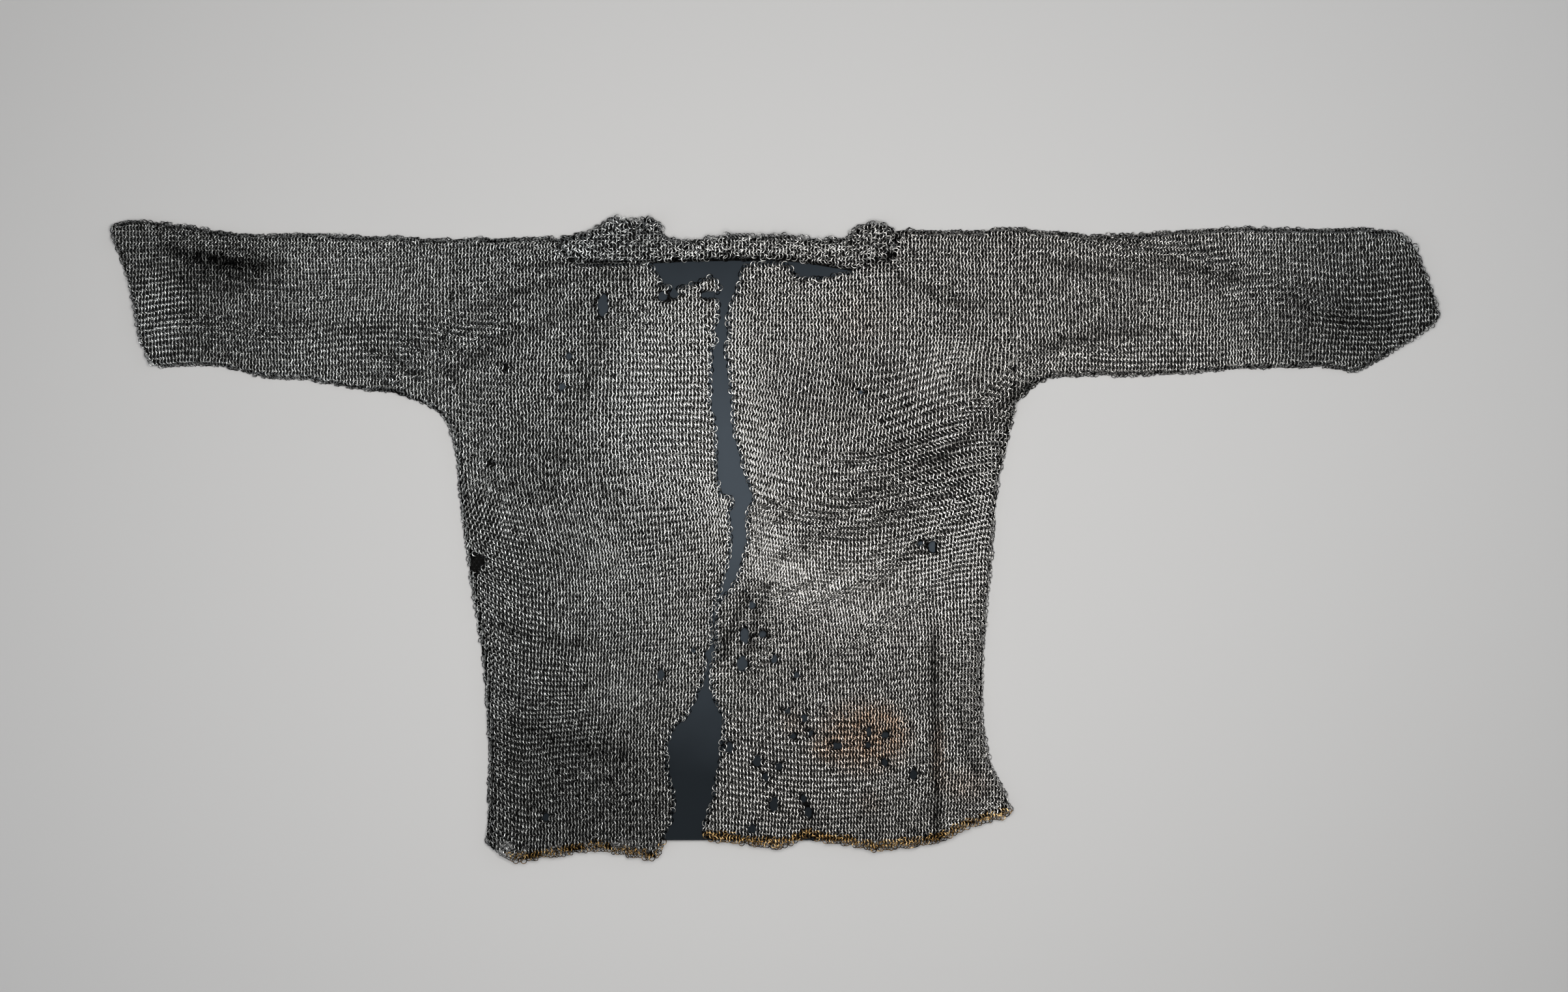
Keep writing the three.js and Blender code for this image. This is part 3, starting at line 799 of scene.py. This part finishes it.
@dataclass
class RingBed:
    """The rings of one panel: they sit on the panel's solid, on the shared lattice."""

    name: str
    node: str
    slot: str
    finish: bpy.types.Material
    sites: list[Site]
    tilt: float = math.radians(24)
    edge_reach: float = 4.2  # mm around a ring that has to be covered, away from edges
    most_bare: int = 3  # ways out of eight that may be bare at an edge
    ruffle: float = 0.05  # how unevenly the rings lie
    lift: float = 0.2  # mm by which the rings stand higher than mid-wall
    heave: float = 0.42  # how far rows lean against each other on the ribs
    hole_margin: float = 3.2  # mm around a hole in which no ring is seated
    tone: tuple[float, float] = (0.64, 0.11)  # mean wear of the rings and its spread
    painted_light: float = 0.3  # painted light that a lit patch adds to the tone
    darken_and_shade: float = 0.42  # tone that a dark patch takes: darker iron and painted shade
    shade: float = 0.45  # painted shade that a crease takes from the tone

    def seats(self) -> list[Seat]:
        """Find a seat for every ring of the panel, with extra ones round its folds."""
        low, high = (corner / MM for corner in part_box(self.node))
        bed = Cover((self.node,))
        dice = random.Random(self.name)
        found = []
        for site in self.sites:
            if not (low.x < site.x < high.x and low.y < site.y < high.y):
                continue
            under = bed.top(site.x, site.y)
            if under is None or self.in_hole(site):
                continue
            bare = COVER.bare_ways(site.x, site.y, self.edge_reach)
            if len(bare) > self.most_bare:
                continue
            seat = self.seat(under, site, dice)
            if bare:
                found.extend(self.edge_seats(seat, bare, site, dice))
            else:
                found.append(seat)
        return found

    def in_hole(self, site: Site) -> bool:
        """Whether a ring at a place would hang into one of the holes."""
        return any(hole.holds(site.x, site.y, self.hole_margin) for hole in HOLES)

    def seat(self, under: tuple[Vector, Vector], site: Site, dice: random.Random) -> Seat:
        """Seat one ring in the middle of the wall under a place.

        Args:
            under: The point and normal of the panel's upper face.
            site: The place of the weave.
            dice: The panel's own random numbers.

        Returns:
            The seat.
        """
        place, normal = under
        x, y = site.x, site.y
        # painted light from the lit patches, on top of the rings' random wear
        tone = dice.gauss(*self.tone) + self.painted_light * total(PAINTED_LIGHT_PATCHES, x, y)
        # darker iron and painted shade from the dark patches
        tone -= self.darken_and_shade * total(DARK_AND_SHADE_PATCHES, x, y)
        # painted shade along the creases
        tone -= self.shade * total(CREASES, x, y)
        rust = total(RUST, x, y) * dice.uniform(0.45, 1.0)
        ruffled = noise.noise_vector(Vector((x, y, 3.0)) * 0.35) * self.ruffle
        heave = self.heave * total(RIBS, x, y) * (1.0 if site.lean is Lean.LEFT else -1.0)
        wobble = Vector((dice.gauss(0, 0.04), heave + dice.gauss(0, 0.04), 0))
        return Seat(
            place=place + normal * (self.lift * MM - 0.5 * WALL),
            normal=(normal + ruffled + wobble).normalized(),
            turn=site.lean.value + dice.gauss(0.0, 0.16 + self.ruffle),
            tilt=self.tilt * dice.uniform(0.8, 1.2) / site.size,
            tone=max(0.05, min(1.0, tone)),
            rust=min(1.0, rust),
            warmth=eased(-260.0, 60.0, x) * eased(700.0, 400.0, x),
            size=site.size,
        )

    def edge_seats(
        self, seat: Seat, bare: list[Vector], site: Site, dice: random.Random
    ) -> list[Seat]:
        """Bend a ring to the border it is at: round a fold, or ruffled at a free edge.

        Args:
            seat: The ring as it would lie inside the panel.
            bare: The ways in which the mail has ended.
            site: The place of the weave.
            dice: The panel's own random numbers.

        Returns:
            The ring, and on a fold a second one that stands on the fold.
        """
        outward = sum(bare, Vector()).normalized()
        if edge_kind(site.x, site.y) is Edge.OPEN:
            loose = Vector((dice.gauss(0, 0.2), dice.gauss(0, 0.2), 0.0))
            seat.normal = (seat.normal + loose + outward * 0.15).normalized()
            seat.turn += dice.gauss(0.0, 0.5)
            seat.place += outward * dice.uniform(-0.6, 0.5) * MM
            seat.bare = True
            return [seat]
        seat.normal = (seat.normal + outward * 0.55).normalized()
        seat.place -= Vector((0.0, 0.0, 0.5 * MM))
        upright = Seat(
            place=Vector((seat.place.x, seat.place.y, 0.58 * STACK)) + outward * 1.6 * MM,
            normal=(outward + Vector((0.0, 0.0, 0.8))).normalized(),
            turn=dice.uniform(0.0, 2 * math.pi),
            tilt=dice.gauss(0.0, 0.3),
            tone=seat.tone,
            rust=seat.rust,
            warmth=seat.warmth,
            size=seat.size,
        )
        return [seat, upright]

    def build(self) -> list[bpy.types.Object]:
        """Make the panel's rings, as one piece or several, and dress them."""
        seats = self.seats()
        made = self.pieces(self.name, [seat for seat in seats if not seat.bare], WOVEN_RING)
        return made + self.pieces(f"{self.name}_edge", [s for s in seats if s.bare], LOOSE_RING)

    def pieces(self, name: str, seats: list[Seat], shape: RingShape) -> list[bpy.types.Object]:
        """Stamp rings on seats, in as many pieces as the size of one piece asks.

        Args:
            name: The pieces' common name.
            seats: Where the rings sit.
            shape: The ring.

        Returns:
            The pieces.
        """
        count = math.ceil(len(seats) * 2 * shape.faces / MOST_TRIANGLES)
        seats = sorted(seats, key=lambda seat: -seat.place.y)
        share = math.ceil(len(seats) / max(1, count))
        made = []
        for number in range(count):
            title = name if count == 1 else f"{name}_{number + 1}"
            piece = stamp(title, seats[number * share : (number + 1) * share], shape)
            piece.data.materials.clear()
            piece.data.materials.append(self.finish)
            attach(piece, "root")
            made.append(piece)
            log.info("%s: %d rings", title, len(piece.data.polygons) // shape.faces)
        return made


def stamp(name: str, seats: list[Seat], shape: RingShape) -> bpy.types.Object:
    """Put a copy of a ring on each seat and join them into one mesh.

    Args:
        name: The new piece's name.
        seats: Where the rings sit.
        shape: The ring.

    Returns:
        The piece, with the rings' tone, rust and warmth as attributes and a UV map in which
        each ring has a small square of its own.
    """
    bm = bmesh.new()
    layers = {key: bm.verts.layers.float.new(key) for key in ("tone", "rust", "warmth", "size")}
    turns = bm.verts.layers.float_vector.new("turns")
    berth = bm.verts.layers.float_vector.new("berth")
    across = math.ceil(math.sqrt(len(seats)))
    for number, seat in enumerate(seats):
        vert = bm.verts.new(seat.place)
        vert[layers["tone"]] = seat.tone
        vert[layers["rust"]] = seat.rust
        vert[layers["warmth"]] = seat.warmth
        vert[layers["size"]] = seat.size
        facing = Vector((0.0, 0.0, 1.0)).rotation_difference(seat.normal).to_matrix()
        spin = Matrix.Rotation(seat.turn, 3, "Z") @ Matrix.Rotation(seat.tilt, 3, "Y")
        vert[turns] = Vector((facing @ spin).to_euler())
        vert[berth] = (number % across, number // across, 0.0)
    places = object_from(bm, name, smooth=False)
    ring = shape.build()
    modifier = places.modifiers.new("linked_rings", "NODES")
    modifier.node_group = ring_group(ring, 1.0 / across)
    graph = bpy.context.evaluated_depsgraph_get()
    mesh = bpy.data.meshes.new_from_object(places.evaluated_get(graph))
    mesh.name = name
    mesh.shade_smooth()
    places.modifiers.clear()
    places.data = mesh
    bpy.data.objects.remove(ring)
    return places


def ring_group(ring: bpy.types.Object, square: float) -> bpy.types.NodeTree:
    """Build the geometry nodes that set a ring on each point and realize them.

    Args:
        ring: The ring to copy.
        square: Side of each ring's own square in the UV map.

    Returns:
        The node group.
    """
    group = bpy.data.node_groups.new("linked_rings", "GeometryNodeTree")
    group.interface.new_socket("Geometry", in_out="INPUT", socket_type="NodeSocketGeometry")
    group.interface.new_socket("Geometry", in_out="OUTPUT", socket_type="NodeSocketGeometry")
    points = add_node(group, "NodeGroupInput")
    vector = {"data_type": "FLOAT_VECTOR"}
    turns = add_node(group, "GeometryNodeInputNamedAttribute", vector, {"Name": "turns"})
    facing = add_node(
        group, "FunctionNodeEulerToRotation", links={"Euler": turns.outputs["Attribute"]}
    )
    sizes = add_node(
        group, "GeometryNodeInputNamedAttribute", {"data_type": "FLOAT"}, {"Name": "size"}
    )
    copied = add_node(group, "GeometryNodeObjectInfo", links={"Object": ring})
    set_on = add_node(
        group,
        "GeometryNodeInstanceOnPoints",
        links={
            "Points": points.outputs["Geometry"],
            "Instance": copied.outputs["Geometry"],
            "Rotation": facing.outputs["Rotation"],
            "Scale": sizes.outputs["Attribute"],
        },
    )
    joined = add_node(
        group, "GeometryNodeRealizeInstances", links={"Geometry": set_on.outputs["Instances"]}
    )
    berth = add_node(group, "GeometryNodeInputNamedAttribute", vector, {"Name": "berth"})
    wrap = add_node(group, "GeometryNodeInputNamedAttribute", vector, {"Name": "UVMap"})
    placed = add_node(
        group,
        "ShaderNodeVectorMath",
        {"operation": "ADD"},
        {0: berth.outputs["Attribute"], 1: wrap.outputs["Attribute"]},
    )
    scaled = add_node(
        group,
        "ShaderNodeVectorMath",
        {"operation": "SCALE"},
        {0: placed.outputs["Vector"], "Scale": square},
    )
    stored = add_node(
        group,
        "GeometryNodeStoreNamedAttribute",
        {"data_type": "FLOAT2", "domain": "CORNER"},
        {"Geometry": joined.outputs["Geometry"], "Name": "UVMap", "Value": scaled.outputs["Vector"]},
    )
    add_node(group, "NodeGroupOutput", links={"Geometry": stored.outputs["Geometry"]})
    return group


# ------------------------------------------------------------------ cloth under the rings


@dataclass
class UnderSheet:
    """The deeper layer of a panel that lies on what is below it, cut back at free edges."""

    name: str
    nodes: tuple[str, ...]
    finish: bpy.types.Material
    flat: tuple[float, float]
    area: float
    rests_on: tuple[str, ...]
    step: float = 8.0  # mm between its corners
    inset: float = 2.6  # mm by which it stops short of a free edge
    sink: float = 2.4  # mm from the panel's upper face down to its own
    thickness: float = 0.7
    stride: float = 0.5  # mm by which a corner of the border feels its way out
    punch: float = 1.4  # mm by which a hole in the sheet is wider than the hole in the table

    def build(self, with_pieces: list[bpy.types.Object]) -> bpy.types.Object:
        """Lay a grid on the solid, trim it to the outline, give it a wall and cut its holes.

        Args:
            with_pieces: The rings that are linked on it; not used.

        Returns:
            The sheet, riding on the shirt.
        """
        bed = Cover(self.nodes)
        corners = [corner for node in self.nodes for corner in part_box(node)]
        low = Vector(min(corner[axis] for corner in corners) for axis in range(3))
        high = Vector(max(corner[axis] for corner in corners) for axis in range(3))
        size, middle = high - low, (low + high) / 2
        bm = bmesh.new()
        bmesh.ops.create_grid(
            bm,
            x_segments=math.ceil(size.x / (self.step * MM)),
            y_segments=math.ceil(size.y / (self.step * MM)),
            size=0.5,
        )
        bmesh.ops.scale(bm, vec=(size.x, size.y, 1.0), verts=bm.verts)
        bmesh.ops.translate(bm, vec=(middle.x, middle.y, 0.0), verts=bm.verts)
        gone = [vert for vert in bm.verts if not self.covered(bed, vert.co)]
        bmesh.ops.delete(bm, geom=gone, context="VERTS")
        for vert in [vert for vert in bm.verts if vert.is_boundary]:
            self.reach_out(bed, vert)
        for vert in bm.verts:
            vert.co.z = bed.top(vert.co.x / MM, vert.co.y / MM)[0].z - self.sink * MM
        bmesh.ops.smooth_vert(bm, verts=bm.verts, factor=0.4, use_axis_z=True)
        pinched = [vert for vert in bm.verts if not vert.is_manifold]
        bmesh.ops.delete(bm, geom=pinched, context="VERTS")
        piece = object_from(bm, self.name)
        wall = piece.modifiers.new("wall", "SOLIDIFY")
        wall.thickness = self.thickness * MM
        self.cut_holes(piece)
        piece.data.materials.append(self.finish)
        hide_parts(self.nodes[0])
        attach(piece, "root")
        log.info("%s: sheet of %d faces", self.name, len(piece.data.polygons))
        return piece

    def covered(self, bed: Cover, co: Vector) -> bool:
        """Whether a place is on this panel and far enough inside the mail's free edges."""
        x, y = co.x / MM, co.y / MM
        return bed.top(x, y) is not None and not COVER.bare_ways(x, y, self.inset)

    def reach_out(self, bed: Cover, vert: bmesh.types.BMVert) -> None:
        """Move a corner of the border out to where the panel's cover really ends.

        Args:
            bed: The panel's own solids.
            vert: The corner, which moves level and no further than the grid's step.
        """
        ring = [edge.other_vert(vert).co for edge in vert.link_edges]
        inward = sum(ring, Vector()) / len(ring) - vert.co
        if inward.length < 0.1 * self.step * MM:
            return
        stride = -self.stride * MM * inward.normalized()
        for _ in range(int(1.4 * self.step / self.stride)):
            if not self.covered(bed, vert.co + stride):
                break
            vert.co += stride

    def cut_holes(self, piece: bpy.types.Object) -> None:
        """Cut the worn holes out of the sheet with oval punches, all at once."""
        bm = bmesh.new()
        for hole in HOLES:
            across, up = (hole.across + self.punch) * MM, (hole.up + self.punch) * MM
            place = Matrix.Translation((hole.x * MM, hole.y * MM, 0.5 * STACK))
            bmesh.ops.create_cone(
                bm,
                cap_ends=True,
                segments=12,
                radius1=1.0,
                radius2=1.0,
                depth=0.1,
                matrix=place @ Matrix.Diagonal((across, up, 1.0, 1.0)),
            )
        punches = object_from(bm, "hole_punches", smooth=False)
        cut = piece.modifiers.new("worn_holes", "BOOLEAN")
        cut.operation = "DIFFERENCE"
        cut.use_self = True
        cut.object = punches
        graph = bpy.context.evaluated_depsgraph_get()
        mesh = bpy.data.meshes.new_from_object(piece.evaluated_get(graph))
        piece.modifiers.clear()
        piece.data = mesh
        mesh.name = self.name
        mesh.shade_smooth()
        mesh.materials.clear()
        bpy.data.objects.remove(punches)


@dataclass
class FoldedLayer:
    """A panel's whole solid as cloth: a sleeve's tube, or the back, softened a little."""

    name: str
    node: str
    finish: bpy.types.Material
    flat: tuple[float, float]
    rests_on: tuple[str, ...]
    sink: float = 0.3  # share by which the upper half is pressed down under the rings
    inset: float = 2.2  # mm by which its sides stand back inside the rings

    def build(self, with_pieces: list[bpy.types.Object]) -> bpy.types.Object:
        """Copy the solid, press its upper half down and dress it.

        Args:
            with_pieces: The rings that are linked on it; not used.

        Returns:
            The sheet, riding on the shirt.
        """
        bm = merged_copy(self.node)
        middle = 0.5 * STACK
        bm.normal_update()
        for vert in bm.verts:
            level = Vector((vert.normal.x, vert.normal.y, 0.0))
            if level.length > 0.3:
                vert.co -= self.inset * MM * level.normalized()
        for vert in bm.verts:
            if vert.co.z > middle:
                vert.co.z = middle + (vert.co.z - middle) * (1.0 - self.sink)
        piece = object_from(bm, self.name, smooth=False)
        piece.data.materials.append(self.finish)
        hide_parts(self.node)
        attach(piece, "root")
        log.info("%s: folded layer of %d faces", self.name, len(piece.data.polygons))
        return piece


@dataclass
class DisplayBoard:
    """The flat board inside the shirt, its cut edges eased."""

    finish: bpy.types.Material
    ease: float = 0.5  # mm taken off its edges

    def build(self) -> bpy.types.Object:
        """Copy the board's solid, ease its edges and paint it."""
        bm = merged_copy("display_board")
        bmesh.ops.dissolve_limit(
            bm, angle_limit=math.radians(1), verts=bm.verts, edges=bm.edges
        )
        sharp = [edge for edge in bm.edges if edge.calc_face_angle(0.0) > math.radians(60)]
        bmesh.ops.bevel(
            bm,
            geom=sharp,
            offset=self.ease * MM,
            offset_type="OFFSET",
            affect="EDGES",
            segments=2,
            profile=0.5,
            material=-1,
        )
        piece = object_from(bm, "painted_board", smooth=False)
        piece.data.materials.append(self.finish)
        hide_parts("display_board")
        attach(piece, "root")
        log.info("painted_board: %d faces", len(piece.data.polygons))
        return piece


# ------------------------------------------------------------------ camera and studio


@dataclass
class Studio:
    """The camera straight above the shirt, a pale floor and soft light."""

    lens: float = 85.0
    middle: tuple[float, float] = (0.010, 0.048)
    height: float = 4.16

    def add_camera(self) -> None:
        """Make the camera that looks straight down."""
        camera = bpy.data.cameras.new("camera")
        camera.lens = self.lens
        camera.sensor_width = 36.0
        camera.clip_end = 50.0
        eye = bpy.data.objects.new("camera", camera)
        eye.location = (self.middle[0], self.middle[1], self.height)
        bpy.context.scene.collection.objects.link(eye)
        bpy.context.scene.camera = eye

    def add_light(
        self, name: str, place: tuple[float, float, float], size: float, power: float, tint: str
    ) -> None:
        """Add a soft square light that faces the middle of the shirt.

        Args:
            name: The light's name.
            place: Where it stands, in metres.
            size: Its side in metres.
            power: Its power in watts.
            tint: Its hex colour.
        """
        light = bpy.data.lights.new(name, "AREA")
        light.shape = "SQUARE"
        light.size = size
        light.energy = power
        light.color = linear(tint)[:3]
        lamp = bpy.data.objects.new(name, light)
        lamp.location = place
        aim = Vector((0.0, 0.05, 0.0)) - lamp.location
        lamp.rotation_euler = aim.to_track_quat("-Z", "Y").to_euler()
        lamp.visible_camera = False
        bpy.context.scene.collection.objects.link(lamp)

    def build(self) -> None:
        """Make the floor, the lights and the even grey around them."""
        bm = bmesh.new()
        bmesh.ops.create_grid(bm, x_segments=1, y_segments=1, size=6.0)
        bmesh.ops.translate(bm, vec=(0.0, 0.0, -0.4 * MM), verts=bm.verts)
        floor = object_from(bm, "studio_floor", smooth=False)
        material, shader = new_material("pale_studio_paper")
        shader.inputs["Base Color"].default_value = linear("#e4e4e4")
        shader.inputs["Roughness"].default_value = 0.9
        floor.data.materials.append(material)
        self.add_light("overhead_softbox", (0.05, 0.10, 2.0), 1.2, 30.0, "#fffdfa")
        self.add_light("left_fill", (-2.2, -0.8, 1.5), 1.6, 6.0, "#f4f8ff")
        self.add_light("right_fill", (2.2, 1.0, 1.5), 1.6, 6.0, "#f4f8ff")
        world = bpy.data.worlds.new("studio_air")
        world.use_nodes = True
        world.node_tree.nodes["Background"].inputs["Color"].default_value = linear("#9ea1a4")
        world.node_tree.nodes["Background"].inputs["Strength"].default_value = 0.15
        bpy.context.scene.world = world
        bpy.context.scene.view_settings.view_transform = "Standard"


# ------------------------------------------------------------------ the whole shirt


def main() -> None:
    """Build the studio and the shirt, piece by piece."""
    logging.basicConfig(level=logging.INFO, format="%(name)s: %(message)s")
    noise.seed_set(NOISE_SEED)
    studio = Studio()
    studio.add_camera()
    studio.build()

    iron = ForgedIron().material()
    bright_iron = ForgedIron(
        name="iron_wire_scoured_bright", recess_grime_and_shade="#080808", worn="#868685", bright="#dededd"
    ).material()
    brass = ForgedIron(
        name="brass_wire_tarnished", recess_grime_and_shade="#140f08", worn="#8c6c3e", bright="#e0c08a"
    ).material()
    weave = WovenUnderlayer().material()
    sites = Lattice().sites()

    DisplayBoard(SlatePaint().material()).build()

    hems = {
        side: RingBed(
            f"{side}_hem_rings", f"{side}_hem_band", "brass_mail", brass, sites, ruffle=0.2
        ).build()
        for side in ("right", "left")
    }
    for side, rings in hems.items():
        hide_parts(f"{side}_hem_band")

    collar_rings = RingBed(
        "collar_rings", "collar", "bright_mail", bright_iron,
        Lattice(pitch=4.1, row=3.1, stray=0.9, skirt=1.0, arm=1.0).sites(300.0, 290.0, 380.0),
        ruffle=0.5,
    ).build()
    UnderSheet(
        "collar_weave", ("collar",), weave, flat=(0.38, 0.06), area=0.0085,
        rests_on=("back_weave",), step=5.0, inset=2.0,
    ).build(collar_rings)

    for side, width in (("right", 0.32), ("left", 0.35)):
        rings = RingBed(f"{side}_front_rings", f"{side}_front", "iron_mail", iron, sites)
        UnderSheet(
            f"{side}_front_weave", (f"{side}_front", f"{side}_hem_band"), weave,
            flat=(width, 0.70), area=0.8 * width * 0.70,
            rests_on=("painted_board", "back_weave"),
        ).build(rings.build() + hems[side])

    for side, flat in (("right", (0.35, 0.38)), ("left", (0.34, 0.475))):
        rings = RingBed(f"{side}_sleeve_rings", f"{side}_sleeve", "iron_mail", iron, sites)
        FoldedLayer(
            f"{side}_sleeve_weave", f"{side}_sleeve", weave, flat=flat, rests_on=(),
        ).build(rings.build())

    FoldedLayer(
        "back_weave", "back", weave, flat=(0.635, 0.69), rests_on=(), sink=0.0
    ).build([])


if __name__ == "__main__":
    main()
